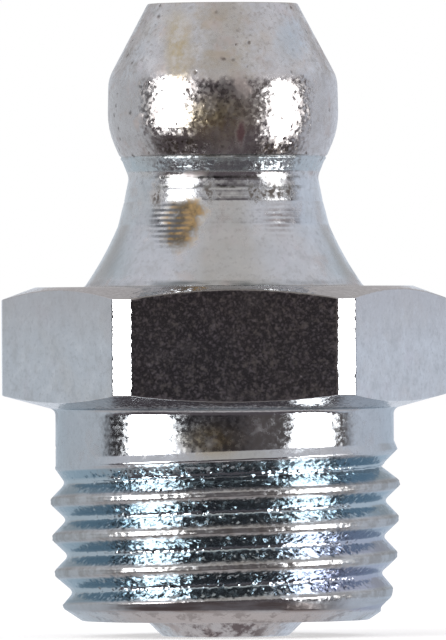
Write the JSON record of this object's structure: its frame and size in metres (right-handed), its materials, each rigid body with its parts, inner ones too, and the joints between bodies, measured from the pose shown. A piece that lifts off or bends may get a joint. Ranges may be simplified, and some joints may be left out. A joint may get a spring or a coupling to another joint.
{
  "type": "grease nipple",
  "caption": "Straight grease nipple with a coupler head, a waist, a hexagon and a short tapered thread; a sprung check ball closes its inlet.",
  "frame": {"origin": "on the axis, where the neck of the shank meets the underside of the hexagon", "axes": "+Z along the axis from the shank towards the coupler head; the hexagon's corners lie on the X axis and two of its flats face +Y and -Y"},
  "size_m": [0.0124, 0.011, 0.0176],
  "materials": {
    "zinc_plated_steel": "turned steel, zinc plated, lightly stained",
    "ball_steel": "ground and polished steel",
    "spring_steel": "drawn spring wire"
  },
  "bodies": {
    "nipple": {"nipple_body": "zinc_plated_steel", "valve_spring": "spring_steel"},
    "ball": {"check_ball": "ball_steel"}
  },
  "joints": [
    {"name": "ball_lift", "type": "slide", "parent": "nipple", "child": "ball", "axis": [0, 0, -1], "range_m": [0, 0.001], "stiffness_N_per_m": 940, "springref_m": -0.002, "deforming": ["valve_spring"]}
  ]
}
